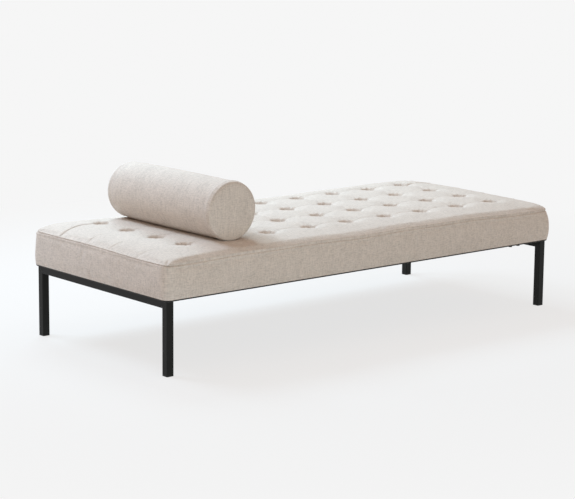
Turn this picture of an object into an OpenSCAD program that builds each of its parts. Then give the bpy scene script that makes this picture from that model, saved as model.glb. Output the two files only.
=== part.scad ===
// Daybed: a deep-tufted upholstered platform on a square-tube steel frame, with a loose
// round bolster lying across the head end.
// X runs along the length with the head end at -X, the front faces -Y and +Z is up.
// The origin is on the floor under the middle of the bed. Sizes are in millimetres.

/* [Steel frame] */
// Length over the two end frames
frame_len = 1950; // [1700:10:2200]
// Width over the legs
frame_wid = 826; // [780:2:1000]
// Height of the top of the steel above the floor
frame_top = 276; // [200:2:400]
// Outer size of the square tube
tube = 30; // [28:1:40]
// Wall of the square tube
tube_wall = 2; // [1.5:0.5:3]
// Outer corner radius of the square tube
tube_round = 3; // [2.5:0.5:4]
// Distance between the centre lines of the two side rails
rail_spacing = 600; // [500:10:660]
// Gap between a side rail's end and the end rail
rail_end_gap = 0.5; // [0.2:0.1:2]

/* [Joining stubs] */
// Length of the stub that each side rail slides over
stub_len = 110; // [100:5:200]
// Play on each side between the stub and the inside of the rail
stub_play = 0.5; // [0.2:0.1:1]

/* [Feet] */
// Thickness of the foot's flange under the tube
foot_flange_t = 3; // [2:0.5:6]
// Length of the foot's plug inside the tube
foot_plug_len = 18; // [12:1:30]
// Play on each side between the plug and the inside of the tube
foot_play = 0.2; // [0.1:0.05:0.5]
// Wall of the plug
foot_plug_wall = 2.5; // [2:0.5:4]

/* [Platform bolts] */
// Distance from the end of the frame to the middle of a pair of bolts
bolt_setback = 65; // [60:1:75]
// Distance between the two bolts of a pair
bolt_pitch = 45; // [30:1:50]
// Diameter of the bolt
bolt_d = 8; // [6:1:8]
// Width of the bolt's head across its flats
bolt_head_af = 13; // [12:1:15]
// Height of the bolt's head
bolt_head_h = 5.3; // [4:0.1:6]
// How far the bolt stands out of the T-nut
bolt_end = 3; // [1:0.5:5]
// Extra diameter of a hole that a bolt passes through
hole_play = 1; // [0.5:0.1:2]
// Outer diameter of the washer
washer_d = 16; // [15:1:20]
// Thickness of the washer
washer_t = 1.6; // [1:0.2:2.4]

/* [T-nuts] */
// Diameter of the T-nut's flange
t_nut_flange_d = 22; // [18:1:28]
// Thickness of the T-nut's flange
t_nut_flange_t = 1.5; // [1:0.1:2]
// Diameter of the T-nut's barrel
t_nut_barrel_d = 10; // [10:0.5:12]
// Length of the T-nut's barrel
t_nut_barrel_len = 11; // [8:1:20]
// Radial clearance of the bolt in the T-nut and of the T-nut in the bearer
thread_gap = 0.05; // [0.02:0.01:0.1]

/* [Platform] */
// Thickness of the dust cover under the platform
dust_cover_t = 1; // [0.5:0.5:2]
// Height of the perimeter boards
board_h = 58; // [52:1:66]
// Thickness of the perimeter boards
board_t = 20; // [16:1:25]
// Width of the two bearers that the bolts screw into
bearer_wid = 90; // [75:1:100]
// Height of the two bearers
bearer_h = 38; // [30:1:42]
// Thickness of the braces across the middle
brace_t = 20; // [16:1:25]
// Share of the way along the tufts at which a brace stands
brace_share = 0.6; // [0.55:0.05:0.75]
// Thickness of the plywood deck
deck_t = 12; // [9:1:15]
// Diameter of the deck screws
screw_d = 4; // [3:0.5:5]
// Length of the deck screws
screw_len = 40; // [30:1:45]
// Diameter of the deck screws' countersunk heads
screw_head_d = 8; // [7:0.5:9]
// Number of deck screws along each long side
screws_long = 8; // [4:1:10]
// Radial clearance of a screw in its hole
screw_gap = 0.1; // [0.05:0.05:0.2]

/* [Upholstery] */
// Height of the side band, from the steel to the seam
band_h = 130; // [120:1:150]
// Inset of the boards, deck and foam from the frame's outline
core_inset = 7; // [5:0.5:10]
// Gap between the band and what it wraps
wrap_gap = 0.5; // [0.3:0.1:1]
// How far the band stands out of the frame's outline at its bottom edge
band_out_bottom = 13; // [8:0.5:15]
// How far the band stands out at its fullest
band_out_full = 18; // [16:0.5:24]
// How far the band stands out at the seam
band_out_seam = 13; // [8:0.5:15]
// Share of the band's height at which it is fullest
band_full_at = 0.35; // [0.25:0.05:0.65]
// Rounding of the band's bottom edge
band_lip = 1; // [0.5:0.5:3]
// Width of the band's hem under the platform
hem_wid = 20; // [12:1:24]
// Corner radius of the frame-size outline that the cover follows
plan_round = 14; // [12:1:40]
// Rise of the top panel over its rounded edge
edge_rise = 24; // [16:1:32]
// Width of the rounded edge along the two sides
side_edge_wid = 42; // [30:1:60]
// Squareness of the edge along the two sides, where 2 is a quarter of an ellipse
side_edge_square = 5; // [2:0.5:6]
// Width of the rounded edge at the two ends
end_edge_wid = 95; // [50:1:110]
// Squareness of the edge at the two ends, where 2 is a quarter of an ellipse
end_edge_square = 1.8; // [1.5:0.1:4]
// Further rise of the top panel to its middle
crown = 7; // [3:0.5:15]
// Width over which the top panel rises to its middle
crown_wid = 150; // [100:5:200]
// Depth of the top pad below the seam
pad_skirt = 10; // [6:1:20]

/* [Tufting] */
// Number of tufts along the length
tufts_long = 9; // [7:1:9]
// Number of tufts across the width
tufts_wide = 4; // [3:1:4]
// Distance between tufts along the length
tuft_pitch_x = 198; // [190:1:205]
// Distance between tufts across the width
tuft_pitch_y = 177.5; // [170:0.5:190]
// Depth of a tuft's pit
pit_depth = 25; // [10:1:28]
// Radius of a tuft's pit
pit_round = 30; // [20:1:36]
// Height of the pillows between the tufts
pillow_h = 3; // [1:0.5:10]
// Depth of the pleat from each end tuft to the end seam
pleat_depth = 3; // [1:0.5:6]
// Half the width of a pleat
pleat_wid = 10; // [8:1:14]
// Diameter of the tufting twine
twine_d = 2.4; // [1.5:0.1:3]
// Extra diameter of the twine's holes
twine_play = 2; // [1:0.5:4]
// Diameter of the washer that holds a twine under the deck
tie_washer_d = 24; // [16:1:30]
// Thickness of the washer that holds a twine
tie_washer_t = 2; // [1:0.5:3]
// Diameter of the knot under the washer
knot_d = 6; // [5:0.5:7]

/* [Bolster] */
// Diameter of the bolster
bolster_d = 220; // [180:2:260]
// Length of the bolster over its edges
bolster_len = 650; // [500:10:700]
// Distance from the head end of the frame to the middle of the bolster
bolster_from_head = 365; // [300:1:600]
// Radius of the bolster's soft edge
bolster_edge = 12; // [8:1:20]
// Thickness of the bolster's cover
cover_t = 2; // [1.5:0.5:3]
// How far the middle of each end panel stands out
end_crown = 6; // [3:1:15]
// Length of the zip
zip_len = 460; // [300:10:470]
// Width of the zip
zip_wid = 9; // [6:0.5:14]
// Gap round the pieces sewn into or packed inside the cover
sewn_gap = 0.4; // [0.2:0.1:1]
// Gap between the resting bolster and the top panel
rest_gap = 0.4; // [0.3:0.1:1]

/* [Hidden] */

$fn = 48;
bolster_facets = 96;
dome_facets = 400;
twine_facets = 24;
// Overshoot of a cutting body past the face that it cuts
cut = 1;
// Smallest corner radius that an inner outline keeps
min_round = 1;
steel = "#2b2c2a";
plastic = "#1c1c1c";
zinc = "#b9bcc0";
timber = "#d8b98a";
plywood = "#c9a774";
linen = "#bdb1a5";
foam = "#efe6b8";
cloth = "#2a2a2a";
twine = "#e8e2d2";

half_len = frame_len / 2;
half_wid = frame_wid / 2;
tube_bore = tube - 2 * tube_wall;
bore_round = max(tube_round - tube_wall, min_round);

// Levels of the stack on top of the steel
boards_z = frame_top + dust_cover_t;
deck_z = boards_z + board_h;
foam_z = deck_z + deck_t;
seam_z = frame_top + band_h;
pad_z = seam_z - pad_skirt;
bearer_top = boards_z + bearer_h;

// A side is -1 for the front or the left, and 1 for the back or the right
sides = [-1, 1];

// ---------- Shared shapes ----------

// A rectangle with round corners, centred
module round_rect(len, wid, r) {
    union() {
        square([len - 2 * r, wid], center = true);
        square([len, wid - 2 * r], center = true);
        for (sx = sides, sy = sides)
            translate([sx * (len / 2 - r), sy * (wid / 2 - r)])
                circle(r);
    }
}

// A plate with the outline of the upholstered core, set in by a further inset
module core_plate(height, inset = 0) {
    total = core_inset + inset;
    linear_extrude(height)
        round_rect(frame_len - 2 * total, frame_wid - 2 * total, max(plan_round - total, min_round));
}

// Square tube standing on the origin
module square_tube(length, size = tube, wall = tube_wall, outer = tube_round) {
    linear_extrude(length)
        difference() {
            round_rect(size, size, outer);
            round_rect(size - 2 * wall, size - 2 * wall, max(outer - wall, min_round));
        }
}

// ---------- Steel frame ----------

// A leg, mitred at 45 degrees where it meets the end rail
module leg(side_x, side_y) {
    length = frame_top - foot_flange_t;
    translate([side_x * (half_len - tube / 2), side_y * half_wid, foot_flange_t])
        intersection() {
            translate([0, -side_y * tube / 2, 0])
                square_tube(length);
            // Side profile: full height at the outside, one tube lower at the inside
            rotate([90, 0, 90])
                linear_extrude(tube + cut, center = true)
                    polygon([
                        [0, 0], [-side_y * tube, 0],
                        [-side_y * tube, length - tube], [0, length]
                    ]);
        }
}

// The top rail of an end frame, mitred at both ends
module end_rail(side_x) {
    translate([side_x * (half_len - tube / 2), 0, frame_top - tube])
        intersection() {
            translate([0, half_wid, tube / 2])
                rotate([90, 0, 0])
                    square_tube(frame_wid);
            rotate([90, 0, 90])
                linear_extrude(tube + cut, center = true)
                    polygon([
                        [-half_wid + tube, 0], [half_wid - tube, 0],
                        [half_wid, tube], [-half_wid, tube]
                    ]);
        }
}

// Centre of each bolt, for one side rail or for both
function bolt_places(rails = sides) = [
    for (sx = sides, sy = rails, k = sides)
        [sx * (half_len - bolt_setback) + k * bolt_pitch / 2, sy * rail_spacing / 2]
];

// Clearance holes for the bolts through everything between two levels
module bolt_holes(bottom, top, diameter = bolt_d + hole_play, rails = sides) {
    for (p = bolt_places(rails))
        translate([p[0], p[1], bottom - cut])
            cylinder(d = diameter, h = top - bottom + 2 * cut);
}

// A side rail runs between the end rails, over the joining stubs
module side_rail(side_y) {
    reach = half_len - tube - rail_end_gap;
    difference() {
        translate([-reach, side_y * rail_spacing / 2, frame_top - tube / 2])
            rotate([90, 0, 90])
                square_tube(2 * reach);
        bolt_holes(frame_top - tube, frame_top, rails = [side_y]);
    }
}

// Stubs welded to the inner faces of the end rails
module joining_stubs() {
    size = tube_bore - 2 * stub_play;
    stub_round = bore_round + 2 * stub_play;
    color(steel)
        difference() {
            for (sx = sides, sy = sides)
                translate([
                    sx > 0 ? half_len - tube - stub_len : -half_len + tube,
                    sy * rail_spacing / 2, frame_top - tube / 2
                ])
                    rotate([90, 0, 90])
                        square_tube(stub_len, size, tube_wall, stub_round);
            bolt_holes(frame_top - tube, frame_top);
        }
}

// A plastic foot: a flange under the tube and a hollow plug inside it
module foot(side_x, side_y) {
    plug = tube_bore - 2 * foot_play;
    hollow = plug - 2 * foot_plug_wall;
    color(plastic)
        translate([side_x * (half_len - tube / 2), side_y * (half_wid - tube / 2), 0])
            difference() {
                union() {
                    linear_extrude(foot_flange_t)
                        round_rect(tube, tube, tube_round);
                    linear_extrude(foot_flange_t + foot_plug_len)
                        round_rect(plug, plug, bore_round);
                }
                translate([0, 0, foot_flange_t])
                    linear_extrude(foot_plug_len + cut)
                        round_rect(hollow, hollow, bore_round);
            }
}

// ---------- Bolts that join rails, stubs and platform ----------

module platform_bolts() {
    head_z = frame_top - tube - washer_t - bolt_head_h;
    shank_top = bearer_top + t_nut_flange_t + bolt_end;
    color(zinc)
        for (p = bolt_places())
            translate([p[0], p[1], head_z]) {
                cylinder(d = bolt_head_af / cos(30), h = bolt_head_h, $fn = 6);
                cylinder(d = bolt_d, h = shank_top - head_z);
            }
}

module bolt_washers() {
    color(zinc)
        for (p = bolt_places())
            translate([p[0], p[1], frame_top - tube - washer_t])
                difference() {
                    cylinder(d = washer_d, h = washer_t);
                    translate([0, 0, -cut])
                        cylinder(d = bolt_d + hole_play, h = washer_t + 2 * cut);
                }
}

// T-nuts: a barrel down into the bearer and a flange on top of it
module t_nuts() {
    color(zinc)
        for (p = bolt_places())
            translate([p[0], p[1], bearer_top])
                difference() {
                    union() {
                        cylinder(d = t_nut_flange_d, h = t_nut_flange_t);
                        translate([0, 0, -t_nut_barrel_len])
                            cylinder(d = t_nut_barrel_d, h = t_nut_barrel_len);
                    }
                    translate([0, 0, -t_nut_barrel_len - cut])
                        cylinder(d = bolt_d + 2 * thread_gap,
                                 h = t_nut_barrel_len + t_nut_flange_t + 2 * cut);
                }
}

// ---------- Timber platform ----------

board_reach_x = half_len - core_inset;
board_reach_y = half_wid - core_inset;
// A piece of the platform stops this far from the inside of a board
inner_y = board_reach_y - board_t;
inner_x = board_reach_x - board_t;

// Centre of each deck screw: along the long boards, then along the short ones
function screw_places() = concat(
    [
        for (k = [0 : screws_long - 1], sy = sides)
            [
                (k / (screws_long - 1) - 0.5) * 2 * (inner_x - board_t),
                sy * (board_reach_y - board_t / 2)
            ]
    ],
    [for (sx = sides, k = [-1, 0, 1]) [sx * (board_reach_x - board_t / 2), k * inner_y / 2]]
);

// Height of the countersunk cone
screw_head_h = (screw_head_d - screw_d) / 2;

module deck_screw_shapes(gap) {
    for (p = screw_places())
        translate([p[0], p[1], foam_z - screw_len - gap]) {
            cylinder(d = screw_d + 2 * gap, h = screw_len + gap);
            translate([0, 0, screw_len + gap - screw_head_h])
                cylinder(d1 = screw_d + 2 * gap, d2 = screw_head_d + 2 * gap, h = screw_head_h);
        }
}

// A board on the long side, with its corners rounded to the cover's outline
module base_board_long(side_y) {
    color(timber)
        difference() {
            intersection() {
                translate([0, 0, boards_z])
                    core_plate(board_h);
                translate([
                    -half_len, side_y > 0 ? inner_y : -board_reach_y, boards_z
                ])
                    cube([frame_len, board_t, board_h]);
            }
            deck_screw_shapes(screw_gap);
        }
}

// A board on the short side, between the two long ones
module base_board_short(side_x) {
    color(timber)
        difference() {
            intersection() {
                translate([0, 0, boards_z])
                    core_plate(board_h);
                translate([side_x > 0 ? inner_x : -board_reach_x, -inner_y, boards_z])
                    cube([board_t, 2 * inner_y, board_h]);
            }
            deck_screw_shapes(screw_gap);
        }
}

// A bearer lies flat across the platform over the bolts at one end
module bearer(side_x) {
    middle = side_x * (half_len - bolt_setback);
    outer = middle + side_x * bearer_wid / 2;
    // Close to the end the bearer stops at the short board
    edge = side_x * min(abs(outer), inner_x);
    start = min(edge, edge - side_x * bearer_wid);
    color(timber)
        difference() {
            translate([start, -inner_y, boards_z])
                cube([bearer_wid, 2 * inner_y, bearer_h]);
            bolt_holes(boards_z, bearer_top);
            for (p = bolt_places())
                translate([p[0], p[1], bearer_top - t_nut_barrel_len])
                    cylinder(d = t_nut_barrel_d + 2 * thread_gap, h = t_nut_barrel_len + cut);
        }
}

// A brace stands on edge across the platform, midway between two rows of tufts
module brace(side_x) {
    row = floor(brace_share * tufts_long);
    middle = (tufts_x[row] + tufts_x[row + 1]) / 2;
    color(timber)
        translate([side_x * middle - brace_t / 2, -inner_y, boards_z])
            cube([brace_t, 2 * inner_y, board_h]);
}

module deck_panel() {
    color(plywood)
        difference() {
            translate([0, 0, deck_z])
                core_plate(deck_t);
            deck_screw_shapes(screw_gap);
            tie_holes(deck_z, foam_z);
        }
}

module deck_screws() {
    color(zinc)
        deck_screw_shapes(0);
}

module dust_cover() {
    hem_edge = hem_wid - core_inset + wrap_gap;
    color(cloth)
        difference() {
            translate([0, 0, frame_top])
                core_plate(dust_cover_t, hem_edge);
            bolt_holes(frame_top, boards_z);
        }
}

// ---------- Tufting ----------

// Places of the tufts along one axis, centred on the bed
function tuft_line(count, pitch) = [for (i = [0 : count - 1]) (i - (count - 1) / 2) * pitch];

tufts_x = tuft_line(tufts_long, tuft_pitch_x);
tufts_y = tuft_line(tufts_wide, tuft_pitch_y);

// Holes for the twine through everything between two levels
module tie_holes(bottom, top) {
    for (x = tufts_x, y = tufts_y)
        translate([x, y, bottom - cut])
            cylinder(d = twine_d + twine_play, h = top - bottom + 2 * cut, $fn = twine_facets);
}

// Each twine runs from the pad down through foam and deck to a knot
module tufting_ties() {
    knot_z = deck_z - tie_washer_t - knot_d / 2;
    color(twine)
        for (x = tufts_x, y = tufts_y)
            translate([x, y, knot_z]) {
                cylinder(d = twine_d, h = pad_z - knot_z, $fn = twine_facets);
                sphere(d = knot_d, $fn = twine_facets);
            }
}

module tie_washers() {
    color(plastic)
        difference() {
            for (x = tufts_x, y = tufts_y)
                translate([x, y, deck_z - tie_washer_t])
                    cylinder(d = tie_washer_d, h = tie_washer_t);
            tie_holes(deck_z - tie_washer_t, deck_z);
        }
}

module foam_block() {
    color(foam)
        difference() {
            translate([0, 0, foam_z])
                core_plate(pad_z - foam_z);
            tie_holes(foam_z, pad_z);
        }
}

// ---------- Side band ----------

arc_steps = 6;
ring_size = 4 * (arc_steps + 1);

// One ring of the rounded outline, standing out of the frame's outline by out
function outline_ring(out, z) = [
    for (q = [0 : 3], s = [0 : arc_steps])
        let (
            turn = 90 * (q + s / arc_steps),
            r = max(plan_round + out, min_round),
            sx = q == 0 || q == 3 ? 1 : -1,
            sy = q < 2 ? 1 : -1
        )
            [
                sx * (half_len + out - r) + r * cos(turn),
                sy * (half_wid + out - r) + r * sin(turn), z
            ]
];

// Outward reach of the band at a share of its height: full low down, drawn in towards the seam
function band_reach(share) =
    let (below = min(share / band_full_at, 1), above = max(share - band_full_at, 0) / (1 - band_full_at))
        band_out_full
        - (band_out_full - band_out_bottom) * pow(1 - below, 2)
        - (band_out_full - band_out_seam) * pow(above, 2);

band_steps = 9;
// Section of the band: outside going up, inside going down, then the hem
band_section = concat(
    [[band_out_bottom - band_lip, 0]],
    [
        for (k = [0 : band_steps])
            let (share = k / band_steps)
                [band_reach(share), band_lip + (band_h - band_lip) * share]
    ],
    [
        [wrap_gap - core_inset, band_h],
        [wrap_gap - core_inset, dust_cover_t - wrap_gap / 2],
        [-hem_wid, dust_cover_t - wrap_gap / 2],
        [-hem_wid, 0]
    ]
);

module side_band() {
    rings = len(band_section);
    points = [for (s = band_section) each outline_ring(s[0], frame_top + s[1])];
    faces = [
        for (k = [0 : rings - 1], i = [0 : ring_size - 1])
            let (next_k = (k + 1) % rings, next_i = (i + 1) % ring_size)
                [
                    k * ring_size + i, next_k * ring_size + i,
                    next_k * ring_size + next_i, k * ring_size + next_i
                ]
    ];
    color(linen)
        polyhedron(points, faces);
}

// ---------- Deep-tufted top ----------

top_reach_x = half_len + band_out_seam;
top_reach_y = half_wid + band_out_seam;
top_round = plan_round + band_out_seam;

last_x = tufts_x[tufts_long - 1];
last_y = tufts_y[tufts_wide - 1];

// Most of the way from the last tuft to the seam that the rounded edge may take
edge_limit = 0.7;
end_edge = min(end_edge_wid, edge_limit * (top_reach_x - last_x));
side_edge = min(side_edge_wid, edge_limit * (top_reach_y - last_y));

// Grid lines close up at the tufts and at the rounded edge
pitch_shares = [0.07, 0.17, 0.33, 0.5, 0.67, 0.83, 0.93];
edge_shares = [1, 0.72, 0.48, 0.28, 0.12, 0.03, 0];
outer_shares = [0.14, 0.34, 0.66];

// Lines from the last tuft out to the seam, as distances from the middle
function margin_lines(last, pitch, reach, edge) =
    let (open = min(reach - edge - last, pitch / 2))
        concat(
            [for (s = outer_shares) last + s * open],
            [for (s = edge_shares) reach - s * edge]
        );

function grid_lines(tufts, pitch, reach, edge) =
    let (last = tufts[len(tufts) - 1], margin = margin_lines(last, pitch, reach, edge))
        concat(
            [for (i = [len(margin) - 1 : -1 : 0]) -margin[i]],
            [for (i = [0 : len(tufts) - 2]) each concat(
                tufts[i], [for (s = pitch_shares) tufts[i] + s * pitch]
            )],
            [last],
            margin
        );

grid_x = grid_lines(tufts_x, tuft_pitch_x, top_reach_x, end_edge);
grid_y = grid_lines(tufts_y, tuft_pitch_y, top_reach_y, side_edge);

// Share of its full rise that the rounded edge has reached at a distance in from the seam
function edge_share(d, wid, square) = pow(1 - pow(1 - min(d / wid, 1), square), 1 / square);

// Share of the edge's rise at a place, with both edges of a corner taken together
function risen(x, y) =
    edge_share(top_reach_x - abs(x), end_edge, end_edge_square)
    * edge_share(top_reach_y - abs(y), side_edge, side_edge_square);

// Smooth share of the way from the seam on to the crowned middle
function smooth_share(t) = let (k = min(max(t, 0), 1)) k * k * (3 - 2 * k);
function crowned(x, y) =
    smooth_share((top_reach_x - abs(x)) / crown_wid) * smooth_share((top_reach_y - abs(y)) / crown_wid);

// Offset from the nearest tuft on one axis
function from_tuft(v, tufts, pitch) =
    let (i = round((v - tufts[0]) / pitch), last = len(tufts) - 1)
        v - tufts[min(max(i, 0), last)];

// Height of the pillows, pits and end pleats above the crowned surface
function relief(x, y) =
    let (
        dx = from_tuft(x, tufts_x, tuft_pitch_x),
        dy = from_tuft(y, tufts_y, tuft_pitch_y),
        wave_x = pow(cos(180 * (x - tufts_x[0]) / tuft_pitch_x), 2),
        wave_y = pow(cos(180 * (y - tufts_y[0]) / tuft_pitch_y), 2),
        past_end = abs(x) > last_x ? 1 : 0,
        pleat = past_end * risen(x, y) * pleat_depth * exp(-pow(dy / pleat_wid, 2))
    )
        pillow_h * crowned(x, y) * (1 - (wave_x + wave_y) / 2) - pleat
        - pit_depth * exp(-(dx * dx + dy * dy) / (pit_round * pit_round));

function top_z(x, y) = seam_z + edge_rise * risen(x, y) + crown * crowned(x, y) + relief(x, y);

// A grid point pulled in to the rounded corner; reach and corner give the outline
function to_outline(x, y, reach_x, reach_y, corner) =
    let (
        a = max(abs(x) - (reach_x - corner), 0),
        b = max(abs(y) - (reach_y - corner), 0),
        k = a > 0 && b > 0 ? max(a, b) / norm([a, b]) : 1
    )
        k == 1 ? [x, y] : [
            sign(x) * (reach_x - corner + a * k),
            sign(y) * (reach_y - corner + b * k)
        ];

cols = len(grid_x);
rows = len(grid_y);

// Grid places of the rim, once round anticlockwise
rim = concat(
    [for (i = [0 : cols - 2]) [i, 0]],
    [for (j = [0 : rows - 2]) [cols - 1, j]],
    [for (i = [cols - 1 : -1 : 1]) [i, rows - 1]],
    [for (j = [rows - 1 : -1 : 1]) [0, j]]
);
rim_size = len(rim);

module tufted_top() {
    surface = [
        for (j = [0 : rows - 1], i = [0 : cols - 1])
            let (
                p = to_outline(grid_x[i], grid_y[j], top_reach_x, top_reach_y, top_round)
            )
                [p[0], p[1], top_z(grid_x[i], grid_y[j])]
    ];
    // The skirt follows the rim, drawn in to the outline of the core
    shrink = band_out_seam + core_inset;
    core_x = top_reach_x - shrink;
    core_y = top_reach_y - shrink;
    skirt_xy = [
        for (g = rim)
            let (
                x = grid_x[g[0]] * core_x / top_reach_x,
                y = grid_y[g[1]] * core_y / top_reach_y
            )
                to_outline(x, y, core_x, core_y, max(top_round - shrink, min_round))
    ];
    skirt_top = [for (p = skirt_xy) [p[0], p[1], seam_z]];
    skirt_bottom = [for (p = skirt_xy) [p[0], p[1], pad_z]];
    points = concat(surface, skirt_top, skirt_bottom, [[0, 0, pad_z]]);
    first_top = cols * rows;
    first_bottom = first_top + rim_size;
    centre = first_bottom + rim_size;
    top_faces = [
        for (j = [0 : rows - 2], i = [0 : cols - 2])
            let (a = j * cols + i, b = a + 1, c = a + cols + 1, d = a + cols)
                each [[a, c, b], [a, d, c]]
    ];
    rim_faces = [
        for (k = [0 : rim_size - 1])
            let (
                n = (k + 1) % rim_size,
                rim_k = rim[k][1] * cols + rim[k][0],
                rim_n = rim[n][1] * cols + rim[n][0]
            )
                each [
                    [rim_k, rim_n, first_top + n],
                    [rim_k, first_top + n, first_top + k],
                    [first_top + k, first_top + n, first_bottom + n, first_bottom + k],
                    [first_bottom + k, first_bottom + n, centre]
                ]
    ];
    color(linen)
        polyhedron(points, concat(top_faces, rim_faces));
}

// ---------- Bolster ----------

bolster_r = bolster_d / 2;
bolster_x = -half_len + bolster_from_head;

// Height of the modelled top panel along one grid row, at any place between its lines
function row_height(x, y) = lookup(x, [for (g = grid_x) [g, top_z(g, y)]]);

// Step between the places where the bolster's underside is tried on the panel
rest_step = 3;

// The bolster sinks into the valleys until it meets the top panel
rest_z = max([
    for (y = grid_y, dx = [-bolster_r / 2 : rest_step : bolster_r / 2])
        if (abs(y) < bolster_len / 2)
            row_height(bolster_x + dx, y) - bolster_r
            + sqrt(bolster_r * bolster_r - dx * dx)
]);

// Puts a piece modelled along +Z, centred, into its place across the bed with +Z to the front
module across_bed() {
    translate([bolster_x, 0, rest_z + rest_gap + bolster_r])
        rotate([90, 0, 0])
            children();
}

// Half section of a round-edged cylinder, from its axis outwards
module bolster_section(r, length, edge) {
    union() {
        translate([0, -length / 2])
            square([r - edge, length]);
        translate([0, -length / 2 + edge])
            square([r, length - 2 * edge]);
        for (s = sides)
            translate([r - edge, s * (length / 2 - edge)])
                circle(edge);
    }
}

end_r = bolster_r - bolster_edge;
// Angle round the bolster at which the zip is sewn in, low on the side towards the head
zip_turn = 235;

// A block through the cover where the zip is sewn in
module zip_block(gap) {
    depth = 6 * cover_t;
    rotate([0, 0, zip_turn])
        translate([bolster_r - depth / 2, -zip_wid / 2 - gap, -zip_len / 2 - gap])
            cube([depth, zip_wid + 2 * gap, zip_len + 2 * gap]);
}

module bolster_cover() {
    color(linen)
        across_bed()
            difference() {
                rotate_extrude($fn = bolster_facets)
                    difference() {
                        bolster_section(bolster_r, bolster_len, bolster_edge);
                        bolster_section(bolster_r - cover_t, bolster_len - 2 * cover_t,
                                        bolster_edge - cover_t);
                        // Open at both ends inside the soft edge
                        square([2 * (end_r + sewn_gap), 2 * bolster_len], center = true);
                    }
                zip_block(sewn_gap);
            }
}

// A crowned end panel, sewn in inside the soft edge
module bolster_end() {
    dome = (end_r * end_r + end_crown * end_crown) / (2 * end_crown);
    color(linen)
        rotate_extrude($fn = bolster_facets)
            intersection() {
                translate([0, -cover_t])
                    square([end_r, cover_t + end_crown]);
                difference() {
                    translate([0, end_crown - dome])
                        circle(dome, $fn = dome_facets);
                    translate([0, end_crown - dome - cover_t])
                        circle(dome, $fn = dome_facets);
                }
            }
}

module bolster_core() {
    inset = cover_t + sewn_gap;
    color(foam)
        across_bed()
            rotate_extrude($fn = bolster_facets)
                bolster_section(bolster_r - inset, bolster_len - 2 * (cover_t + inset),
                                bolster_edge - inset);
}

module bolster_zip() {
    color(twine)
        across_bed()
            intersection() {
                rotate_extrude($fn = bolster_facets)
                    translate([bolster_r - cover_t, -zip_len / 2])
                        square([cover_t, zip_len]);
                zip_block(0);
            }
}

// ---------- Nodes ----------

module leg_front_left() { color(steel) leg(-1, -1); }
module leg_back_left() { color(steel) leg(-1, 1); }
module leg_front_right() { color(steel) leg(1, -1); }
module leg_back_right() { color(steel) leg(1, 1); }
module end_rail_left() { color(steel) end_rail(-1); }
module end_rail_right() { color(steel) end_rail(1); }
module side_rail_front() { color(steel) side_rail(-1); }
module side_rail_back() { color(steel) side_rail(1); }
module bolster_end_front() {
    across_bed() translate([0, 0, bolster_len / 2]) bolster_end();
}
module bolster_end_back() {
    across_bed() translate([0, 0, -bolster_len / 2]) rotate([180, 0, 0]) bolster_end();
}

leg_front_left();
leg_back_left();
leg_front_right();
leg_back_right();
end_rail_left();
end_rail_right();
side_rail_front();
side_rail_back();
joining_stubs();
foot(-1, -1);  // foot_front_left
foot(-1, 1);  // foot_back_left
foot(1, -1);  // foot_front_right
foot(1, 1);  // foot_back_right
platform_bolts();
bolt_washers();
t_nuts();
base_board_long(-1);  // base_board_front
base_board_long(1);  // base_board_back
base_board_short(-1);  // base_board_left
base_board_short(1);  // base_board_right
bearer(-1);  // bearer_left
bearer(1);  // bearer_right
brace(-1);  // brace_left
brace(1);  // brace_right
deck_panel();
deck_screws();
dust_cover();
foam_block();
side_band();
tufted_top();
tufting_ties();
tie_washers();
bolster_cover();
bolster_end_front();
bolster_end_back();
bolster_core();
bolster_zip();
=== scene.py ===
"""Looks of the daybed: a tufted linen platform on a black steel frame, with a loose bolster."""
import math

import bpy
import numpy as np
from mathutils import Matrix, Vector


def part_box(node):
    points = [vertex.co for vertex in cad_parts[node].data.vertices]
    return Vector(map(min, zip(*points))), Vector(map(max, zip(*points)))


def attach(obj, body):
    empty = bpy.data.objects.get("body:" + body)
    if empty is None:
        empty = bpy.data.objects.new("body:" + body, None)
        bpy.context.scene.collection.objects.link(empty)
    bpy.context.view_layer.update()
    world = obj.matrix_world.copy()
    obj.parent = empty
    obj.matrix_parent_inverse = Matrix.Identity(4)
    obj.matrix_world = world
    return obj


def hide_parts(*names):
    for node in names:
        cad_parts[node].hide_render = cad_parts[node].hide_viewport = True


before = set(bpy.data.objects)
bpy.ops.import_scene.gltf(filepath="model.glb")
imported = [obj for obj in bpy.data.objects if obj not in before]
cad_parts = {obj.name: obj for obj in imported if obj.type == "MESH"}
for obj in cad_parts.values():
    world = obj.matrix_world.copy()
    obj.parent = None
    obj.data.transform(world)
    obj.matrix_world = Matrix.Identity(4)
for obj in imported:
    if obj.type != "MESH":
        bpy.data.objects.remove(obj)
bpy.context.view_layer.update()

# ---------- Values, in metres and degrees ----------

CAMERA_AZIMUTH = -40.175
CAMERA_ELEVATION = 10.934
CAMERA_ROLL = 0.570
CAMERA_TARGET = Vector((-0.0327, 0.0471, 0.2820))
CAMERA_DISTANCE = 8.0
CAMERA_LENS = 125.33
SENSOR_WIDTH = 36

# Rounded edge of the top panel: its rise, then (width, squareness) along the front and back
# sides and at the left and right ends
EDGE_RISE = 0.024
SIDE_EDGES = ((0.052, 3.2), (0.062, 2.8))
END_EDGES = ((0.095, 1.8), (0.052, 2.8))
# What the edge rises more at the right end than at the left
END_LEAN = -0.004
# Width of the strip at the seam that takes the seam's groove
EDGE_ZONE = 0.030
# Rise on to the middle, and the width that it takes along X and along Y
CROWN = 0.0160
CROWN_WIDTH = (0.190, 0.140)

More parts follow.
